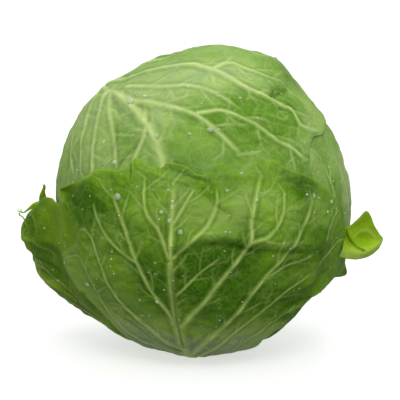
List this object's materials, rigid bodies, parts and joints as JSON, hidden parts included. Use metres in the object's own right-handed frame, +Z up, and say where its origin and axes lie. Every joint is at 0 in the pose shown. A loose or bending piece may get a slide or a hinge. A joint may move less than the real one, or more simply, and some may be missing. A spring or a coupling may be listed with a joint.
{
  "type": "cabbage head",
  "caption": "Round head of green cabbage with veined leaves wrapped over it, loose outer leaves round its lower half and a flat-cut stem to rest on.",
  "frame": {"origin": "middle of the stem's flat cut face, which the head rests on", "axes": "+Z up from the cut face through the head, +X to the right as seen from the front, -Y towards the front, where the largest outer leaf is"},
  "size_m": [0.2042, 0.1736, 0.1772],
  "materials": {
    "outer_leaf": "waxy satin, dark green with pale raised veins",
    "head_leaf": "waxy satin, mid green with a pale bloom and pale veins",
    "curled_leaf": "waxy satin, bright yellow-green",
    "inner_leaf": "waxy satin, pale green",
    "cut_stem": "matt, moist cut fibres",
    "water": "clear water drops"
  },
  "bodies": {
    "root": {"cut_stem": "cut_stem", "inner_head": "inner_leaf", "back_head_leaf": "head_leaf", "right_head_leaf": "head_leaf", "crown_leaf": "head_leaf", "left_outer_leaf": "outer_leaf", "right_outer_leaf": "curled_leaf", "lower_right_leaf": "outer_leaf", "back_outer_leaf": "outer_leaf", "front_leaf": "outer_leaf"}
  },
  "joints": []
}
